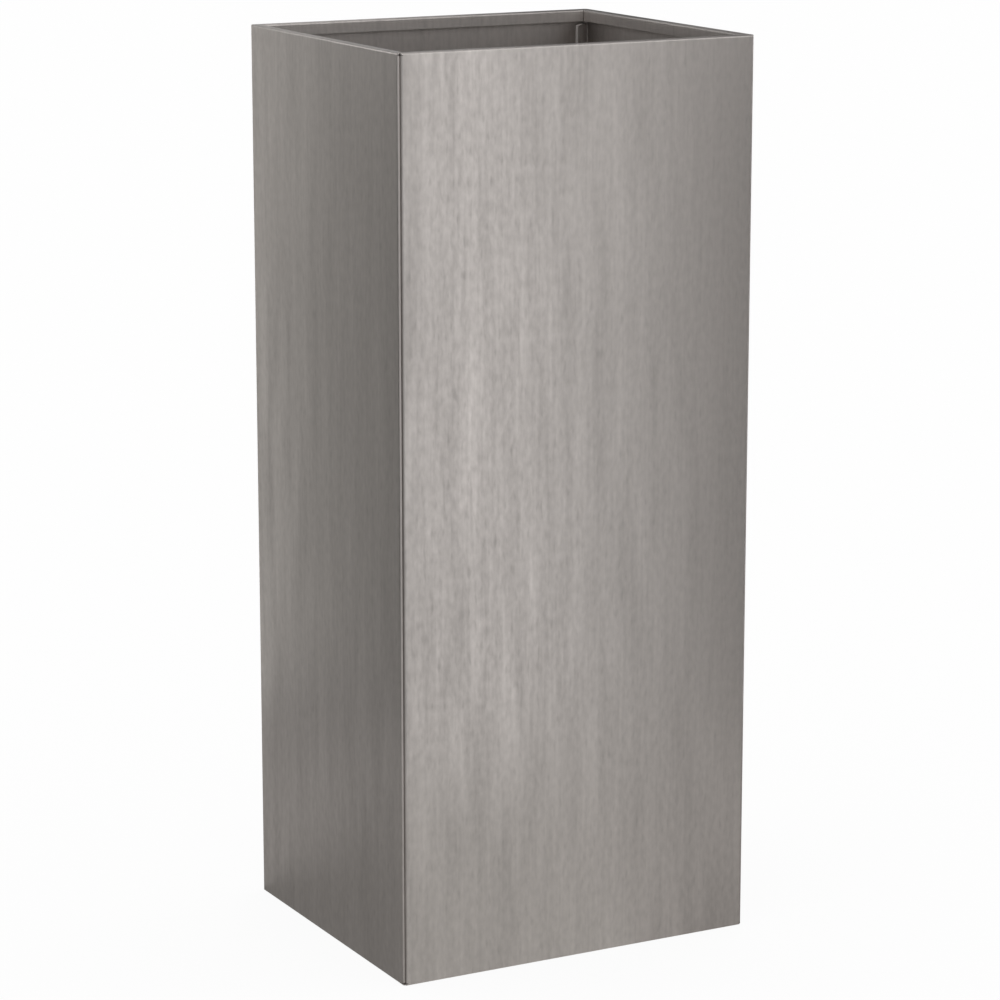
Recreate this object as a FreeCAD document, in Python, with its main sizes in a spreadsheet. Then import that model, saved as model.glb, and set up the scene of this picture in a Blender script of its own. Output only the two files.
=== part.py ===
import FreeCAD, Part
import math
import os
import Sketcher
from collections import namedtuple

# Tall sheet-metal floor planter. Four wall panels, each folded from one sheet, are bolted together
# through the flanges at their corners, and a drained base tray lies loose on their foot flanges.
# Millimetres. The origin is on the floor under the middle of the planter: X to the right, Y from
# the front to the back, Z up.

DRIVING_SIZES = [
    ("width", 320.0, "overall, left to right"),
    ("depth", 275.0, "overall, front to back"),
    ("height", 750.0, "overall, floor to rim"),
    ("plate", 1.0, "thickness of the wall panels' sheet"),
    ("bend_inside", 0.6, "inside radius of every fold"),
    ("rim_ledge", 8.0, "width of the ledge folded inward round the mouth"),
    ("rim_return", 10.0, "depth of the return that hangs from the ledge, from the rim down"),
    ("mitre_gap", 0.4, "open seam between two mitred folds"),
    ("relief", 0.5, "slit between a panel's upright fold and its rim and foot folds"),
    ("corner_flange", 32.0, "corner flange, from the planter's corner to its free edge"),
    ("flange_drop", 2.0, "from the return's lower edge down to the corner flange"),
    ("flange_rise", 10.0, "from the foot flange up to the corner flange"),
    ("bolt_edge", 11.0, "from the corner flange's free edge to the bolts' line"),
    ("bolt_room", 45.0, "from the corner flange's ends to the nearest bolt"),
    ("bolt_rows", 3, "bolts in each corner"),
    ("bolt_diameter", 5.0, "bolt shank"),
    ("bolt_end", 2.0, "bolt's end past its nut"),
    ("hole_clearance", 0.5, "flange hole over the shank, on the diameter"),
    ("thread_clearance", 0.2, "nut over the shank, on the diameter"),
    ("head_wall", 1.5, "from the shank out to a flat of the head and the nut"),
    ("head_thick", 3.5, "bolt head, along the bolt"),
    ("nut_thick", 4.0, "nut, along the bolt"),
    ("tray_plate", 1.2, "thickness of the base tray's sheet"),
    ("tray_lip", 15.0, "height of the base tray, over its folded edges"),
    ("tray_room", 1.5, "room round the base tray where it passes the mouth and the corner flanges"),
    ("tray_seat", 10.5, "width of foot flange that the base tray lies on"),
    ("drain_diameter", 10.0, "drain holes in the base tray"),
    ("drain_inset", 62.0, "from the base tray's edges to the outer drain holes"),
]


class Size:
    # A number together with the expression that gives it from the sheet, so that a sketch is drawn
    # at its solution and stays bound to the sheet.
    def __init__(self, text, value):
        self.text = text
        self.value = value

    def __add__(self, other):
        other = as_size(other)
        return Size(f"({self.text} + {other.text})", self.value + other.value)

    def __sub__(self, other):
        other = as_size(other)
        return Size(f"({self.text} - {other.text})", self.value - other.value)

    def __mul__(self, other):
        other = as_size(other)
        return Size(f"({self.text} * {other.text})", self.value * other.value)

    def __truediv__(self, other):
        other = as_size(other)
        return Size(f"({self.text} / {other.text})", self.value / other.value)

    def __neg__(self):
        return Size(f"(0 - {self.text})", -self.value)


class Arc:
    # A round stretch of an outline, between the points before and after it.
    def __init__(self, centre, radius):
        self.centre = centre
        self.radius = radius


def as_size(item):
    return item if isinstance(item, Size) else Size(str(item), float(item))


doc = FreeCAD.newDocument("planter")
sheet = doc.addObject("Spreadsheet::Sheet", "sizes")


def read_sizes():
    sizes = {}
    for row, (alias, number, note) in enumerate(DRIVING_SIZES, start=1):
        sheet.set(f"A{row}", alias)
        sheet.set(f"B{row}", str(number))
        sheet.setAlias(f"B{row}", alias)
        sheet.set(f"C{row}", note)
        sizes[alias] = Size(f"sizes.{alias}", float(number))
    doc.recompute()
    return sizes


size = read_sizes()
zero = Size("0", 0.0)
root_two = Size("sqrt(2)", math.sqrt(2.0))

# Measures that several pieces share.
fold = size["bend_inside"] + size["plate"]                      # outside radius of a panel's folds
fold_reach = fold * (root_two + 1)                              # from a corner to where its fold ends
tray_inset = size["rim_ledge"] + size["tray_room"]              # from the outside to the base tray
foot_flange = tray_inset + size["tray_seat"]
flange_low = size["plate"] + size["flange_rise"]
flange_high = size["height"] - size["rim_return"] - size["flange_drop"]
bolt_low = flange_low + size["bolt_room"]
bolt_high = flange_high - size["bolt_room"]
bolt_line = size["corner_flange"] - size["bolt_edge"]           # from the corner to the bolts
bolt_rows = int(size["bolt_rows"].value)


def bind(target, path, length):
    target.setExpression(path, as_size(length).text)


def new_body(label):
    body = doc.addObject("PartDesign::Body", label)
    body.Label = label
    return body


def origin_item(body, role):
    for item in body.Origin.OriginFeatures:
        if item.Role == role:
            return item
    raise ValueError(f"{body.Label} has no {role}")


def new_sketch(body, name, plane):
    sketch = body.newObject("Sketcher::SketchObject", name)
    sketch.AttachmentSupport = [(origin_item(body, plane), "")]
    sketch.MapMode = "FlatFace"
    return sketch


def pin_point(sketch, geometry, end, x, y):
    # Fixes a point of the sketch at x and y, each bound to the sheet or lying on an axis.
    for kind, axis, place in (("DistanceX", -2, x), ("DistanceY", -1, y)):
        if place is zero:
            sketch.addConstraint(Sketcher.Constraint("PointOnObject", geometry, end, axis))
        else:
            row = sketch.addConstraint(Sketcher.Constraint(kind, -1, 1, geometry, end, place.value))
            bind(sketch, f"Constraints[{row}]", place)


def draw_outline(sketch, outline):
    # Draws a closed outline through its points, straight from each to the next, or round where an
    # arc of less than half a circle stands between them.
    points = [item for item in outline if not isinstance(item, Arc)]
    arc_after = {}
    for place, item in enumerate(outline):
        if isinstance(item, Arc):
            arc_after[id(outline[place - 1])] = item
    edges = []
    for here, there in zip(points, points[1:] + points[:1]):
        start = FreeCAD.Vector(here[0].value, here[1].value, 0)
        stop = FreeCAD.Vector(there[0].value, there[1].value, 0)
        arc = arc_after.get(id(here))
        if arc is None:
            geometry = sketch.addGeometry(Part.LineSegment(start, stop), False)
            edges.append((geometry, 1, 2))
        else:
            centre = FreeCAD.Vector(arc.centre[0].value, arc.centre[1].value, 0)
            first = math.atan2(start.y - centre.y, start.x - centre.x)
            last = math.atan2(stop.y - centre.y, stop.x - centre.x)
            forward = (last - first) % (2 * math.pi) < math.pi
            circle = Part.Circle(centre, FreeCAD.Vector(0, 0, 1), arc.radius.value)
            angles = (first, last) if forward else (last, first)
            geometry = sketch.addGeometry(Part.ArcOfCircle(circle, *angles), False)
            edges.append((geometry, 1, 2) if forward else (geometry, 2, 1))
            row = sketch.addConstraint(Sketcher.Constraint("Radius", geometry, arc.radius.value))
            bind(sketch, f"Constraints[{row}]", arc.radius)
    for (before, _, ending), (after, beginning, _) in zip(edges, edges[1:] + edges[:1]):
        sketch.addConstraint(Sketcher.Constraint("Coincident", before, ending, after, beginning))
    for (geometry, beginning, _), point in zip(edges, points):
        pin_point(sketch, geometry, beginning, *point)


def draw_circle(sketch, centre, diameter):
    middle = FreeCAD.Vector(centre[0].value, centre[1].value, 0)
    circle = Part.Circle(middle, FreeCAD.Vector(0, 0, 1), diameter.value / 2)
    geometry = sketch.addGeometry(circle, False)
    row = sketch.addConstraint(Sketcher.Constraint("Diameter", geometry, diameter.value))
    bind(sketch, f"Constraints[{row}]", diameter)
    pin_point(sketch, geometry, 3, *centre)


def mirrored_outline(outline):
    return [(-x, y) for x, y in outline]


def new_feature(body, kind, name, sketch, length, backwards=False):
    feature = body.newObject(f"PartDesign::{kind}", name)
    feature.Profile = sketch
    feature.Reversed = backwards
    bind(feature, "Length", length)
    return feature


def raise_sketch(sketch, level):
    bind(sketch, "AttachmentOffset.Base.z", level)


def wall_section():
    # The panel's upright section, from its outer face inward: foot flange, wall, ledge and return.
    plate = size["plate"]
    inside = size["bend_inside"]
    top = size["height"]
    ledge = size["rim_ledge"]
    lip = ledge - fold
    shoulder = top - fold
    foot_fold = (fold, fold)
    outer_fold = (fold, shoulder)
    inner_fold = (lip, shoulder)
    return [
        (foot_flange, zero), (fold, zero),
        Arc(foot_fold, fold),
        (zero, fold), (zero, shoulder),
        Arc(outer_fold, fold),
        (fold, top), (lip, top),
        Arc(inner_fold, fold),
        (ledge, shoulder), (ledge, top - size["rim_return"]),
        (ledge - plate, top - size["rim_return"]), (ledge - plate, shoulder),
        Arc(inner_fold, inside),
        (lip, top - plate), (fold, top - plate),
        Arc(outer_fold, inside),
        (plate, shoulder), (plate, fold),
        Arc(foot_fold, inside),
        (fold, plate), (foot_flange, plate),
    ]


def mitre_outline(span):
    # What the mitre takes off the right-hand end of the ledge, the return and the foot flange, and
    # the tip of each, which would stick out past the upright fold.
    step = size["mitre_gap"] / root_two
    over = size["plate"] + step
    beyond = span / 2 + size["plate"]
    flush = fold * root_two
    return [
        (beyond, -over),
        (beyond, foot_flange + over),
        (span / 2 - step - foot_flange - over, foot_flange + over),
        (span / 2 - flush, flush - step),
        (span / 2 - flush, flush * root_two - flush),
        (span / 2 - flush * root_two - over, -over),
    ]


def trim_outline(span):
    # The flat end of the wall that the upright fold takes the place of.
    plate = size["plate"]
    start = span / 2 - fold_reach
    return [
        (start, -plate), (span / 2 + plate, -plate),
        (span / 2 + plate, plate * 1.5), (start, plate * 1.5),
    ]


def upright_fold_outline(span):
    # The wall's upright edge, turned through 135 degrees to lie along the corner's diagonal.
    inside = size["bend_inside"]
    start = span / 2 - fold_reach
    middle = (start, fold)
    return [
        (start, zero),
        Arc(middle, fold),
        (start + fold / root_two, fold + fold / root_two),
        (start + inside / root_two, fold + inside / root_two),
        Arc(middle, inside),
        (start, size["plate"]),
    ]


def corner_flange_outline():
    # The flange on the corner's diagonal plane, measured from the corner and from the floor.
    edge = size["corner_flange"]
    return [
        (fold_reach, flange_low), (edge, flange_low),
        (edge, flange_high), (fold_reach, flange_high),
    ]


def bolt_levels():
    pitch = (bolt_high - bolt_low) / (bolt_rows - 1)
    return [bolt_low + pitch * row for row in range(bolt_rows)]


def wall_panel(label, span, turn, x, y):
    # One folded panel, drawn with its outer face on the XZ plane and its inside towards Y.
    body = new_body(label)
    section = new_sketch(body, f"{label}_section", "YZ_Plane")
    draw_outline(section, wall_section())
    wall = new_feature(body, "Pad", f"{label}_wall", section, span)
    wall.SideType = "Symmetric"

    mitre = new_sketch(body, f"{label}_mitre_plan", "XY_Plane")
    draw_outline(mitre, mitre_outline(span))
    draw_outline(mitre, mirrored_outline(mitre_outline(span)))
    new_feature(body, "Pocket", f"{label}_mitres", mitre, size["height"], backwards=True)

    trim = new_sketch(body, f"{label}_trim_plan", "XY_Plane")
    draw_outline(trim, trim_outline(span))
    draw_outline(trim, mirrored_outline(trim_outline(span)))
    raise_sketch(trim, fold)
    new_feature(body, "Pocket", f"{label}_trims", trim, size["height"] - fold * 2, backwards=True)

    upright = new_sketch(body, f"{label}_upright_plan", "XY_Plane")
    draw_outline(upright, upright_fold_outline(span))
    raise_sketch(upright, fold + size["relief"])
    upright_height = size["height"] - (fold + size["relief"]) * 2
    upright_fold = new_feature(body, "Pad", f"{label}_upright_fold", upright, upright_height)

    # The flange's sketch stands on the diagonal plane through the corner, and runs inward from it.
    diagonal = new_sketch(body, f"{label}_flange_face", "XZ_Plane")
    diagonal.AttachmentOffset = FreeCAD.Placement(
        FreeCAD.Vector(span.value / 2, 0, 0), FreeCAD.Rotation(FreeCAD.Vector(0, 1, 0), 135))
    bind(diagonal, "AttachmentOffset.Base.x", span / 2)
    draw_outline(diagonal, corner_flange_outline())
    for level in bolt_levels():
        draw_circle(diagonal, (bolt_line, level), size["bolt_diameter"] + size["hole_clearance"])
    flange = new_feature(body, "Pad", f"{label}_corner_flange", diagonal, size["plate"], backwards=True)

    both_ends = body.newObject("PartDesign::Mirrored", f"{label}_both_ends")
    both_ends.Originals = [upright_fold, flange]
    both_ends.MirrorPlane = (origin_item(body, "YZ_Plane"), [""])
    body.Tip = both_ends

    body.Placement = FreeCAD.Placement(
        FreeCAD.Vector(x.value, y.value, 0), FreeCAD.Rotation(FreeCAD.Vector(0, 0, 1), turn))
    bind(body, "Placement.Base.x", x)
    bind(body, "Placement.Base.y", y)
    return body


def bottom_fold_edges(shape):
    # The tray's four straight sides along its underside, without the slanted corners.
    names = []
    for number, edge in enumerate(shape.Edges, start=1):
        run = edge.Vertexes[1].Point - edge.Vertexes[0].Point
        underneath = max(abs(vertex.Z) for vertex in edge.Vertexes) < 1e-6
        if underneath and min(abs(run.x), abs(run.y)) < 1e-6:
            names.append(f"Edge{number}")
    return names


def open_tray_faces(shape):
    # The tray's top and its slanted corners, which have no wall.
    names = []
    for number, face in enumerate(shape.Faces, start=1):
        if face.Surface.TypeId != "Part::GeomPlane":
            continue
        normal = face.normalAt(0, 0)
        slanted = min(abs(normal.x), abs(normal.y)) > 0.5
        if slanted or normal.z > 0.5:
            names.append(f"Face{number}")
    return names


def base_tray():
    # A shallow tray with folded edges, snipped at its corners to pass the corner flanges.
    body = new_body("base_tray")
    side_x = size["width"] / 2 - tray_inset
    side_y = size["depth"] / 2 - tray_inset
    snip = (size["corner_flange"] + size["tray_room"]) * root_two - tray_inset
    snip_x = size["width"] / 2 - snip
    snip_y = size["depth"] / 2 - snip

    plan = new_sketch(body, "tray_plan", "XY_Plane")
    draw_outline(plan, [
        (snip_x, -side_y), (side_x, -snip_y), (side_x, snip_y), (snip_x, side_y),
        (-snip_x, side_y), (-side_x, snip_y), (-side_x, -snip_y), (-snip_x, -side_y),
    ])
    block = new_feature(body, "Pad", "tray_block", plan, size["tray_lip"])
    doc.recompute()

    folds = body.newObject("PartDesign::Fillet", "tray_folds")
    folds.Base = (block, bottom_fold_edges(block.Shape))
    bind(folds, "Radius", size["bend_inside"] + size["tray_plate"])
    doc.recompute()

    hollow = body.newObject("PartDesign::Thickness", "tray_hollow")
    hollow.Base = (folds, open_tray_faces(folds.Shape))
    hollow.Reversed = True
    hollow.Join = "Intersection"
    bind(hollow, "Value", size["tray_plate"])
    doc.recompute()

    drains = new_sketch(body, "drain_plan", "XY_Plane")
    drain_x = side_x - size["drain_inset"]
    drain_y = side_y - size["drain_inset"]
    draw_circle(drains, (zero, zero), size["drain_diameter"])
    for x in (-drain_x, drain_x):
        for y in (-drain_y, drain_y):
            draw_circle(drains, (x, y), size["drain_diameter"])
    new_feature(body, "Pocket", "drain_holes", drains, size["tray_plate"] * 2, backwards=True)

    bind(body, "Placement.Base.z", size["plate"])
    return body


Corner = namedtuple("Corner", "name turn x y facing")


def corner_body(corner, piece):
    # A body whose Y runs inward along the corner's diagonal, and whose X runs along the bolts.
    body = new_body(f"{corner.name}_{piece}")
    body.Placement = FreeCAD.Placement(
        FreeCAD.Vector(corner.x.value, corner.y.value, 0),
        FreeCAD.Rotation(FreeCAD.Vector(0, 0, 1), corner.turn))
    bind(body, "Placement.Base.x", corner.x)
    bind(body, "Placement.Base.y", corner.y)
    return body


def along_bolt(corner, body, kind, name, start, length, **across):
    # A round or six-sided piece of the lowest bolt's set, from start along the bolt to its head.
    solid = body.newObject(f"PartDesign::{kind}", f"{corner.name}_{name}")
    solid.Placement = FreeCAD.Placement(
        FreeCAD.Vector(0, 0, 0), FreeCAD.Rotation(FreeCAD.Vector(0, 1, 0), 90))
    bind(solid, "Placement.Base.x", start if corner.facing > 0 else -(start + length))
    bind(solid, "Placement.Base.y", bolt_line)
    bind(solid, "Placement.Base.z", bolt_low)
    bind(solid, "Height", length)
    for measure, reach in across.items():
        bind(solid, measure, reach)


def repeat_rows(body):
    # Repeats the lowest bolt's pieces, each whole, up the corner.
    doc.recompute()
    rows = body.newObject("PartDesign::LinearPattern", f"{body.Label}_rows")
    rows.TransformMode = "Whole shape"
    rows.Direction = (origin_item(body, "Z_Axis"), [""])
    bind(rows, "Length", bolt_high - bolt_low)
    bind(rows, "Occurrences", size["bolt_rows"])
    body.Tip = rows


def hexagon_radius():
    return (size["bolt_diameter"] / 2 + size["head_wall"]) * 2 / Size("sqrt(3)", math.sqrt(3.0))


def corner_bolts(corner):
    body = corner_body(corner, "bolts")
    grip = size["plate"] * 2
    shank_length = grip + size["nut_thick"] + size["bolt_end"]
    along_bolt(corner, body, "AdditiveCylinder", "shank", size["plate"] - shank_length, shank_length,
               Radius=size["bolt_diameter"] / 2)
    along_bolt(corner, body, "AdditivePrism", "head", size["plate"], size["head_thick"],
               Circumradius=hexagon_radius())
    repeat_rows(body)
    return body


def corner_nuts(corner):
    body = corner_body(corner, "nuts")
    start = -size["plate"] - size["nut_thick"]
    along_bolt(corner, body, "AdditivePrism", "nut_block", start, size["nut_thick"],
               Circumradius=hexagon_radius())
    along_bolt(corner, body, "SubtractiveCylinder", "nut_bore", start, size["nut_thick"],
               Radius=(size["bolt_diameter"] + size["thread_clearance"]) / 2)
    repeat_rows(body)
    return body


def build_planter():
    half_width = size["width"] / 2
    half_depth = size["depth"] / 2
    pieces = [
        wall_panel("front_panel", size["width"], 0, zero, -half_depth),
        wall_panel("back_panel", size["width"], 180, zero, half_depth),
        wall_panel("left_panel", size["depth"], -90, -half_width, zero),
        wall_panel("right_panel", size["depth"], 90, half_width, zero),
        base_tray(),
    ]
    # Every bolt's head faces the front panel or the back panel.
    corners = [
        Corner("front_left", -45, -half_width, -half_depth, 1),
        Corner("front_right", 45, half_width, -half_depth, -1),
        Corner("back_right", 135, half_width, half_depth, 1),
        Corner("back_left", -135, -half_width, half_depth, -1),
    ]
    for corner in corners:
        pieces += [corner_bolts(corner), corner_nuts(corner)]
    doc.recompute()
    return pieces


def check_planter(pieces):
    for item in doc.Objects:
        if "Invalid" in item.State or "Error" in item.State:
            raise RuntimeError(f"{item.Label} failed: {item.State}")
        if item.TypeId == "PartDesign::Pocket" and item.Shape.Volume >= item.BaseFeature.Shape.Volume:
            raise RuntimeError(f"{item.Label} cuts nothing")
    for piece in pieces:
        if piece.Shape.isNull() or not piece.Shape.isValid():
            raise RuntimeError(f"{piece.Label} has no valid shape")


def write_planter(pieces):
    os.makedirs("parts", exist_ok=True)
    for piece in pieces:
        piece.Shape.exportStep(f"parts/{piece.Label}.step")
        box = piece.Shape.BoundBox
        print(f"{piece.Label}: {len(piece.Shape.Solids)} solid(s), {piece.Shape.Volume:.0f} mm3,"
              f" {box.XLength:.1f} x {box.YLength:.1f} x {box.ZLength:.1f} mm")


planter = build_planter()
check_planter(planter)
write_planter(planter)
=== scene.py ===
import bpy
import math
import numpy as np
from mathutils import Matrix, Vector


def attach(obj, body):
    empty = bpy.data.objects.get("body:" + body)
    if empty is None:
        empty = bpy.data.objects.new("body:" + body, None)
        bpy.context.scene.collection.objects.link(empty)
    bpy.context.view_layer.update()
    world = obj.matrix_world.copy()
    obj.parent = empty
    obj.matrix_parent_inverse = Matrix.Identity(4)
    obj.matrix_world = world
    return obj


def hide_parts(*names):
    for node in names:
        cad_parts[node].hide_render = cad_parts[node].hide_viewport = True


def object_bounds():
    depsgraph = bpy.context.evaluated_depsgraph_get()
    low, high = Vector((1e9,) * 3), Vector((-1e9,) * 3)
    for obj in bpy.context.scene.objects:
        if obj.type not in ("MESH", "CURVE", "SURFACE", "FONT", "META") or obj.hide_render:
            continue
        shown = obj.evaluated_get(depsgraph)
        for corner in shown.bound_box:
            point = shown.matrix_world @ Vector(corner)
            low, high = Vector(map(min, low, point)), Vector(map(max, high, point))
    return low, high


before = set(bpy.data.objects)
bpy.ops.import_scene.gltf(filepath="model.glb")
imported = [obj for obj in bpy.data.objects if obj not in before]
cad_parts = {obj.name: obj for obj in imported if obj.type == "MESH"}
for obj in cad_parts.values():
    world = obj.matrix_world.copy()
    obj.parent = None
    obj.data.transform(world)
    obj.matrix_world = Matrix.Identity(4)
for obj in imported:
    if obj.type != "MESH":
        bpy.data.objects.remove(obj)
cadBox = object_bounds()
print("frame loaded:", len(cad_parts), "nodes")

scene = bpy.context.scene
scene.view_settings.view_transform = "Standard"


# helpers for materials

def newMaterial(name):
    material = bpy.data.materials.new(name)
    material.use_nodes = True
    return material


def dressNode(name, finish):
    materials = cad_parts[name].data.materials
    materials.clear()
    materials.append(finish)


def mathNode(tree, operation, first, second):
    node = tree.nodes.new("ShaderNodeMath")
    node.operation = operation
    for socket, item in zip(node.inputs, (first, second)):
        if isinstance(item, bpy.types.NodeSocket):
            tree.links.new(item, socket)
        else:
            socket.default_value = item
    return node.outputs[0]


def noiseNode(tree, place, cell, detail, fade, start=0.0):
    # noise with cells of these lengths on each axis, in metres, moved on by start cells; detail is
    # how many finer octaves it has, each with the fade's share of the one before
    mapping = tree.nodes.new("ShaderNodeMapping")
    mapping.inputs["Scale"].default_value = [1.0 / length for length in cell]
    mapping.inputs["Location"].default_value = (start, start, 0.0)
    tree.links.new(place, mapping.inputs["Vector"])
    noise = tree.nodes.new("ShaderNodeTexNoise")
    noise.inputs["Scale"].default_value = 1.0
    noise.inputs["Detail"].default_value = detail
    noise.inputs["Roughness"].default_value = fade
    tree.links.new(mapping.outputs["Vector"], noise.inputs["Vector"])
    return noise.outputs["Fac"]


metalFinish = {
    "toneEnds": (0.3, 0.7),      # tones at which the roughness reaches its dull and its clean end
    "relief": 0.0003,            # metres of relief, of which each finish takes its bump as a share
}


def finishMetal(material, tone, settings):
    # colour from dark to light with the tone, roughness from dull to clean, and the tone as relief
    nodes = material.node_tree.nodes
    links = material.node_tree.links
    shader = nodes["Principled BSDF"]
    shader.inputs["Metallic"].default_value = 1.0
    mix = nodes.new("ShaderNodeMix")
    mix.data_type = "RGBA"
    mix.inputs["A"].default_value = settings["dark"]
    mix.inputs["B"].default_value = settings["light"]
    links.new(tone, mix.inputs["Factor"])
    links.new(mix.outputs["Result"], shader.inputs["Base Color"])
    clean, dull = settings["roughness"]
    spread = nodes.new("ShaderNodeMapRange")
    spread.inputs["From Min"].default_value = metalFinish["toneEnds"][0]
    spread.inputs["From Max"].default_value = metalFinish["toneEnds"][1]
    spread.inputs["To Min"].default_value = dull
    spread.inputs["To Max"].default_value = clean
    links.new(tone, spread.inputs["Value"])
    links.new(spread.outputs["Result"], shader.inputs["Roughness"])
    bump = nodes.new("ShaderNodeBump")
    bump.inputs["Strength"].default_value = settings["bump"]
    bump.inputs["Distance"].default_value = metalFinish["relief"]
    links.new(tone, bump.inputs["Height"])
    links.new(bump.outputs["Normal"], shader.inputs["Normal"])


# brushed steel of the wall panels

panelSteel = {
    "dark": (0.365, 0.342, 0.327, 1.0),
    "light": (0.755, 0.708, 0.678, 1.0),
    "roughness": (0.38, 0.50),             # clean and dull
    # brush marks: width and length of one mark in metres, its share of the tone, how many finer
    # octaves it has, and where in the noise the pattern starts; the band's and the cloud's starts are
    # set so that their lighter part lays a painted highlight on the front panel, left of its middle
    "marks": {
        "fleck": (0.0042, 0.009, 0.38, 2.0, 0.0),
        "hairline": (0.0032, 0.075, 0.23, 1.0, 0.0),
        # the band and the cloud are random tone of the brushing and also, through their starts, a
        # painted highlight
        "bandAndSheen": (0.0170, 0.170, 0.46, 1.5, 1.4),
        "cloudAndSheen": (0.0900, 0.350, 0.24, 2.0, 15.4),
    },
    # short dark scratches: width and length in metres, share of the tone, and the level of their
    # noise under which one shows
    "scratch": (0.0030, 0.012, 0.5, 0.38),
    "fade": 0.5,                           # from one octave of the marks to the next
    "strength": {"X": 1.0, "Y": 0.75},     # of the marks on panels that run along X and along Y
    "anisotropic": 0.4,
    "bump": 0.05,
}


def brushedSteel(name, across, settings):
    # the grain runs up the wall, over the rim and down its return, because it depends on the
    # place across the panel and on the height plus the depth; the tone is one half, plus the
    # swing of each mark about one half times its share, less the depth of the scratches
    material = newMaterial(name)
    tree = material.node_tree
    place = tree.nodes.new("ShaderNodeTexCoord").outputs["Object"]
    split = tree.nodes.new("ShaderNodeSeparateXYZ")
    tree.links.new(place, split.inputs[0])
    inward = "Y" if across == "X" else "X"
    upward = mathNode(tree, "ADD", split.outputs["Z"], split.outputs[inward])
    join = tree.nodes.new("ShaderNodeCombineXYZ")
    tree.links.new(split.outputs[across], join.inputs["X"])
    tree.links.new(upward, join.inputs["Y"])
    grain = join.outputs[0]
    fade = settings["fade"]
    strength = settings["strength"][across]
    tone = 0.5
    for width, length, share, detail, start in settings["marks"].values():
        mark = noiseNode(tree, grain, (width, length, 1.0), detail, fade, start)
        swing = mathNode(tree, "SUBTRACT", mark, 0.5)
        tone = mathNode(tree, "ADD", mathNode(tree, "MULTIPLY", swing, share * strength), tone)
    width, length, share, level = settings["scratch"]
    scratch = noiseNode(tree, grain, (width, length, 1.0), 0.0, fade)
    depth = mathNode(tree, "MINIMUM", mathNode(tree, "SUBTRACT", scratch, level), 0.0)
    tone = mathNode(tree, "ADD", mathNode(tree, "MULTIPLY", depth, share * strength), tone)
    finishMetal(material, tone, settings)
    tree.nodes["Principled BSDF"].inputs["Anisotropic"].default_value = settings["anisotropic"]
    return material


def dressPanels(settings):
    # the front and back panels are brushed across X, the left and right panels across Y
    wide = brushedSteel("brushedSteelWide", "X", settings)
    deep = brushedSteel("brushedSteelDeep", "Y", settings)
    for name, finish in (("front", wide), ("back", wide), ("left", deep), ("right", deep)):
        dressNode(name + "_panel", finish)


dressPanels(panelSteel)
print("panels finished")


# mill finish of the base tray

traySteel = {
    "dark": (0.36, 0.36, 0.35, 1.0),
    "light": (0.62, 0.62, 0.61, 1.0),
    "roughness": (0.34, 0.52),
    "rollLine": (0.200, 0.0022),     # length and width of one rolling line, metres
    "rollNoise": (3.0, 0.6),         # finer octaves of the lines, and the fade of each
    "patch": 0.030,                  # metres across one soft patch
    "patchNoise": (4.0, 0.55),       # finer octaves of the patches, and the fade of each
    "bump": 0.04,
}


def millSteel(name, settings):
    # rolling lines along X over soft patches, half of the tone each
    material = newMaterial(name)
    tree = material.node_tree
    place = tree.nodes.new("ShaderNodeTexCoord").outputs["Object"]
    length, width = settings["rollLine"]
    lines = noiseNode(tree, place, (length, width, width), *settings["rollNoise"])
    patches = noiseNode(tree, place, (settings["patch"],) * 3, *settings["patchNoise"])
    tone = mathNode(tree, "MULTIPLY", mathNode(tree, "ADD", lines, patches), 0.5)
    finishMetal(material, tone, settings)
    return material


dressNode("base_tray", millSteel("millSteel", traySteel))
print("tray finished")


# bolts and nuts through the corner flanges

zincPlate = {
    "dark": (0.45, 0.44, 0.40, 1.0),
    "light": (0.66, 0.67, 0.68, 1.0),
    "roughness": (0.24, 0.42),
    "patch": 0.0025,                 # metres across one patch of the plating
    "patchNoise": (3.0, 0.6),        # finer octaves of the patches, and the fade of each
    "bump": 0.05,
}

fastener = {
    "flats": 0.008,              # across the flats of the head and the nut
    "endFace": 0.0037,           # radius where the chamfer meets an end face
    "chamfer": 30.0,             # degrees
    "headThick": 0.0035,
    "washerFace": 0.0003,        # height of the raised ring under the head
    "shankLength": 0.008,
    "crest": 0.0025,             # radius over the thread
    "threadDepth": 0.00042,
    "pitch": 0.0008,
    "point": 0.0006,             # length of the cone at the bolt's end
    "nutThick": 0.004,
    "bore": 0.0026,              # radius inside the nut
    "countersink": 0.0004,
    "sheet": 0.001,              # thickness of one flange
    "fromCorner": 0.021,         # from the planter's corner to the bolts, along the diagonal
    "levels": (0.056, 0.3745, 0.693),
    "around": 36,                # steps round a bolt
    "perTurn": 8,                # rows in one turn of the thread
    "sharpAngle": 28.0,          # degrees between two faces over which their edge stays sharp
}

# the signs of X and Y at each corner of the planter, which stands with its middle on the origin
boltCorners = {
    "frontLeft": (-1.0, -1.0),
    "frontRight": (1.0, -1.0),
    "backRight": (1.0, 1.0),
    "backLeft": (-1.0, 1.0),
}


def zincSteel(name, settings):
    material = newMaterial(name)
    tree = material.node_tree
    place = tree.nodes.new("ShaderNodeTexCoord").outputs["Object"]
    tone = noiseNode(tree, place, (settings["patch"],) * 3, *settings["patchNoise"])
    finishMetal(material, tone, settings)
    return material


def hexagonRing(size):
    # steps round the axis; the hexagon's radius at each, half the flats over the cosine of the
    # angle to the middle of the nearest flat; and how far its chamfer has dropped there
    turns = np.arange(size["around"]) * 2.0 * np.pi / size["around"]
    hexagon = size["flats"] / 2.0 / np.cos(np.mod(turns, np.pi / 3.0) - np.pi / 6.0)
    drop = (hexagon - size["endFace"]) * math.tan(math.radians(size["chamfer"]))
    return turns, hexagon, drop


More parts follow.
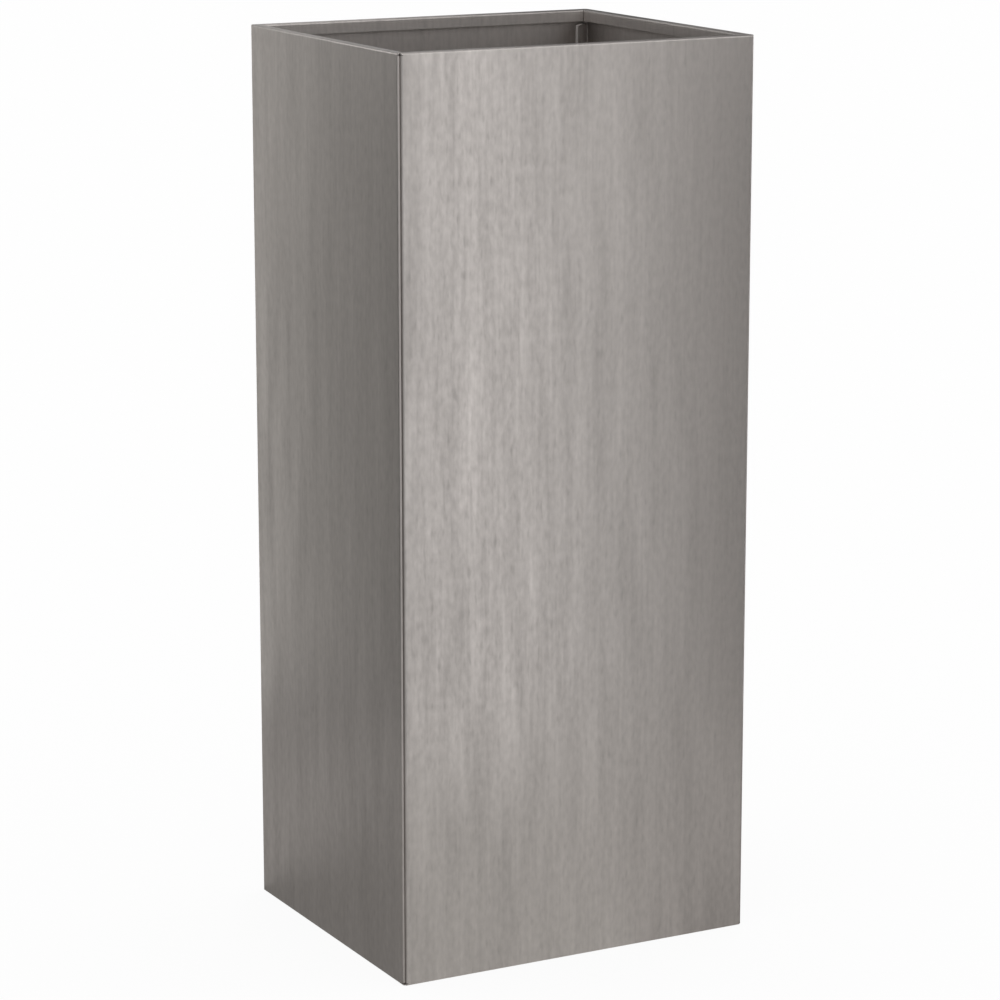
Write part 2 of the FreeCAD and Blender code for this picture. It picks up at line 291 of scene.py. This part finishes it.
def boltSurface(size):
    # radius and place along the bolt, for each row of its profile and each step round it: a
    # helical thread with a triangular section, the washer face, the hexagon and its chamfer
    turns, hexagon, drop = hexagonRing(size)
    even = np.zeros(size["around"])
    rows = int(round(size["shankLength"] / size["pitch"] * size["perTurn"])) + 1
    shankAlong = np.linspace(-size["shankLength"], 0.0, rows)[:, None] + even
    phase = np.mod(shankAlong / size["pitch"] - turns / (2.0 * np.pi), 1.0)
    thread = size["crest"] - size["threadDepth"] * np.abs(2.0 * phase - 1.0)
    cone = size["crest"] - size["point"] + shankAlong + size["shankLength"]
    endFace = size["endFace"] + even
    washer = size["washerFace"] + even
    top = size["headThick"] + even
    headRadius = np.stack([endFace, endFace, hexagon, hexagon, endFace])
    headAlong = np.stack([even, washer, washer, top - drop, top])
    radius = np.concatenate([np.minimum(thread, cone), headRadius])
    along = np.concatenate([shankAlong, headAlong])
    return radius, along, turns


def nutSurface(size):
    # the nut's section from its bore out over both chamfers and back, for each step round it
    turns, hexagon, drop = hexagonRing(size)
    even = np.zeros(size["around"])
    bore = size["bore"] + even
    mouth = bore + size["countersink"]
    endFace = size["endFace"] + even
    top = size["nutThick"] + even
    sink = size["countersink"] + even
    radius = np.stack([bore, mouth, endFace, hexagon, hexagon, endFace, mouth, bore])
    along = np.stack([sink, even, even, drop, top - drop, top, top, top - sink])
    return radius, along, turns


def gridFaces(rows, columns, closed):
    # quads between neighbouring rows, round each ring, and from the last row to the first if closed
    row = np.arange(rows if closed else rows - 1)[:, None]
    column = np.arange(columns)[None, :]
    nextRow = (row + 1) % rows
    nextColumn = (column + 1) % columns
    quads = np.stack([row * columns + column, row * columns + nextColumn,
                      nextRow * columns + nextColumn, nextRow * columns + column], axis=-1)
    return quads.reshape(-1, 4)


def addFasteners(name, node, surface, start, closed, signs, size, finish):
    # a point is the middle, plus its place along the level axis that crosses the corner's diagonal
    # squarely, plus its radius round that axis; one copy of the surface stands at each level
    radius, along, turns = surface
    signX, signY = signs
    upward = np.array([0.0, 0.0, 1.0])
    axis = np.array([-signX, signY, 0.0]) / math.sqrt(2.0)
    inward = np.array([-signX, -signY, 0.0]) / math.sqrt(2.0)
    corner = np.array([cadBox[1][0] * signX, cadBox[1][1] * signY, 0.0])
    middle = corner + inward * size["fromCorner"]
    side = np.cross(axis, upward)
    ring = np.cos(turns)[:, None] * upward + np.sin(turns)[:, None] * side
    one = (along + start)[..., None] * axis + radius[..., None] * ring + middle
    one = one.reshape(-1, 3)
    points = np.concatenate([one + upward * level for level in size["levels"]])
    quads = gridFaces(*radius.shape, closed)
    count = len(one)
    columns = len(turns)
    faces = []
    for copy in range(len(size["levels"])):
        faces += (quads + copy * count).tolist()
        if not closed:
            faces.append((np.arange(columns)[::-1] + copy * count).tolist())
            faces.append((np.arange(count - columns, count) + copy * count).tolist())
    mesh = bpy.data.meshes.new(name)
    mesh.from_pydata(points.tolist(), [], faces)
    mesh.polygons.foreach_set("use_smooth", np.ones(len(mesh.polygons), dtype=bool))
    mesh.set_sharp_from_angle(angle=math.radians(size["sharpAngle"]))
    mesh.materials.append(finish)
    piece = bpy.data.objects.new(name, mesh)
    scene.collection.objects.link(piece)
    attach(piece, "shell")
    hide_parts(node)


def addCornerFasteners(size, corners):
    # heads and nuts lie against the outer faces of the two flanges, which meet on the diagonal
    finish = zincSteel("zincSteel", zincPlate)
    bolt = boltSurface(size)
    nut = nutSurface(size)
    headStart = size["sheet"]
    nutStart = -size["sheet"] - size["nutThick"]
    for name, signs in corners.items():
        node = name.replace("Left", "_left").replace("Right", "_right")
        addFasteners(name + "Bolts", node + "_bolts", bolt, headStart, False, signs, size, finish)
        addFasteners(name + "Nuts", node + "_nuts", nut, nutStart, True, signs, size, finish)


addCornerFasteners(fastener, boltCorners)
print("bolts and nuts done")


# floor, light and camera

studio = {
    "floorReach": 30.0,          # metres, from the middle to each edge
    "floorColor": (0.9, 0.9, 0.9, 1.0),
    "floorWhite": 0.92,          # share of the floor that the camera sees as plain white
    # cards round the planter, seen only in its reflections: each is an arc round the upright axis,
    # carried from its lower or outer edge to the other one. A row gives the arc's two angles, in
    # degrees from straight in front towards the right, the distance from the axis and the height
    # of both edges, in metres, and the colour that the card glows with. The floor's cards lie
    # 0.4 mm above it
    "cards": {
        "softbox": ((172, 212), (0.75, 0.03), (0.75, 0.78), (1.68, 1.66, 1.61)),
        "backLow": ((150, 192), (0.75, 0.78), (0.75, 1.1), (0.6, 0.6, 0.6)),
        "backHigh": ((150, 192), (0.75, 1.1), (0.75, 1.5), (0.03, 0.03, 0.03)),
        "backRight": ((105, 150), (0.75, 0.78), (0.75, 1.5), (0.03, 0.03, 0.03)),
        "backLeft": ((192, 212), (0.75, 0.78), (0.75, 1.5), (0.03, 0.03, 0.03)),
        "nearFront": ((-15, 6), (0.75, 0.0), (0.75, 0.9), (0.48, 0.48, 0.48)),
        "frontLow": ((6, 24), (0.75, 0.0), (0.75, 0.9), (1.66, 1.66, 1.66)),
        "rightLow": ((24, 70), (0.75, 0.0), (0.75, 0.85), (0.038, 0.034, 0.029)),
        "rightHigh": ((42, 105), (0.75, 0.85), (0.75, 1.5), (0.66, 0.66, 0.66)),
        "leftLow": ((212, 290), (0.75, 0.0), (0.75, 0.85), (0.05, 0.049, 0.047)),
        "leftHigh": ((212, 290), (0.75, 0.85), (0.75, 1.5), (1.4, 1.4, 1.4)),
        "nearLow": ((293, 345), (0.75, 0.0), (0.75, 1.1), (0.5, 0.5, 0.5)),
        "nearHigh": ((290, 360), (0.75, 1.1), (0.75, 1.5), (1.7, 1.7, 1.7)),
        "frontHigh": ((0, 42), (0.75, 0.9), (0.75, 1.5), (1.42, 1.42, 1.42)),
        "ceilingRight": ((-45, 135), (0.75, 1.5), (0.42, 1.62), (0.02, 0.02, 0.02)),
        "ceilingLeft": ((135, 315), (0.75, 1.5), (0.42, 1.62), (0.47, 0.47, 0.47)),
        "skylight": ((0, 360), (0.42, 1.62), (0.01, 1.62), (1.32, 1.32, 1.32)),
        # the floor's cards are painted shade: grey sheets that stand for the shaded floor round the
        # planter in its reflections
        "floorShadeFront": ((-49, 22), (0.75, 0.0004), (0.01, 0.0004), (0.55, 0.545, 0.53)),
        "floorShadeTurn": ((22, 36), (0.75, 0.0004), (0.01, 0.0004), (0.47, 0.46, 0.45)),
        "floorShadeCorner": ((36, 49), (0.75, 0.0004), (0.01, 0.0004), (0.4, 0.39, 0.38)),
        "floorShadeRight": ((49, 131), (0.75, 0.0004), (0.01, 0.0004), (0.34, 0.33, 0.32)),
        "floorShadeBack": ((131, 229), (0.75, 0.0004), (0.01, 0.0004), (0.5, 0.49, 0.48)),
        "floorLeft": ((229, 311), (0.75, 0.0004), (0.45, 0.0004), (0.39, 0.385, 0.376)),
        "floorShadeNear": ((229, 311), (0.45, 0.0004), (0.01, 0.0004), (0.28, 0.275, 0.268)),
    },
    "cardPoints": 33,            # along each edge of a card
}


def addStageMesh(name, points, faces, material):
    mesh = bpy.data.meshes.new(name)
    mesh.from_pydata(points.tolist(), [], faces.tolist())
    mesh.materials.append(material)
    piece = bpy.data.objects.new(name, mesh)
    scene.collection.objects.link(piece)
    return piece


def paleFloor(settings):
    # plain white to the camera and in reflections, apart from a share that keeps the planter's shadow
    material = newMaterial("paleFloor")
    tree = material.node_tree
    shader = tree.nodes["Principled BSDF"]
    shader.inputs["Base Color"].default_value = settings["floorColor"]
    shader.inputs["Roughness"].default_value = 1.0
    shader.inputs["Specular IOR Level"].default_value = 0.0
    path = tree.nodes.new("ShaderNodeLightPath").outputs
    reflected = mathNode(tree, "MAXIMUM", path["Is Glossy Ray"], path["Is Transmission Ray"])
    seen = mathNode(tree, "MAXIMUM", path["Is Camera Ray"], reflected)
    white = tree.nodes.new("ShaderNodeEmission")
    mix = tree.nodes.new("ShaderNodeMixShader")
    tree.links.new(mathNode(tree, "MULTIPLY", seen, settings["floorWhite"]), mix.inputs["Fac"])
    tree.links.new(shader.outputs[0], mix.inputs[1])
    tree.links.new(white.outputs[0], mix.inputs[2])
    tree.links.new(mix.outputs[0], tree.nodes["Material Output"].inputs["Surface"])
    return material


def addFloor(settings):
    corners = np.array([[-1, -1, 0], [1, -1, 0], [1, 1, 0], [-1, 1, 0]]) * settings["floorReach"]
    addStageMesh("floor", corners, np.array([[0, 1, 2, 3]]), paleFloor(settings))


def addCards(settings):
    for name, (angles, lower, upper, glow) in settings["cards"].items():
        material = newMaterial(name)
        shader = material.node_tree.nodes["Principled BSDF"]
        shader.inputs["Base Color"].default_value = (0.0, 0.0, 0.0, 1.0)
        shader.inputs["Specular IOR Level"].default_value = 0.0
        shader.inputs["Emission Color"].default_value = (*glow, 1.0)
        shader.inputs["Emission Strength"].default_value = 1.0
        turns = np.radians(np.linspace(*angles, settings["cardPoints"]))
        arc = np.stack([np.sin(turns), -np.cos(turns)], axis=1)
        count = len(arc)
        edges = []
        for distance, height in (lower, upper):
            edges.append(np.column_stack([arc * distance, np.full(count, height)]))
        first = np.arange(count - 1)
        faces = np.column_stack([first, first + 1, first + 1 + count, first + count])
        piece = addStageMesh(name, np.concatenate(edges), faces, material)
        piece.visible_camera = False
        piece.visible_diffuse = False
        piece.visible_shadow = False


def addWorld():
    world = bpy.data.worlds.new("whiteRoom")
    world.use_nodes = True
    world.node_tree.nodes["Background"].inputs["Color"].default_value = (1.0, 1.0, 1.0, 1.0)
    scene.world = world


addFloor(studio)
addCards(studio)
addWorld()

photoCamera = {
    "place": (-1.3916, -2.6050, 1.0217),
    "turn": 28.13,            # degrees to the right of straight ahead
    "tilt": -12.67,           # degrees, downwards
    "lens": 130.19,           # millimetres
    "sensor": 36.0,           # millimetres wide
}


def addCamera(settings):
    camera = bpy.data.objects.new("camera", bpy.data.cameras.new("camera"))
    camera.data.sensor_width = settings["sensor"]
    camera.data.lens = settings["lens"]
    camera.location = settings["place"]
    camera.rotation_euler = (math.radians(90.0 + settings["tilt"]), 0.0, math.radians(-settings["turn"]))
    scene.collection.objects.link(camera)
    scene.camera = camera


addCamera(photoCamera)
print("studio done")
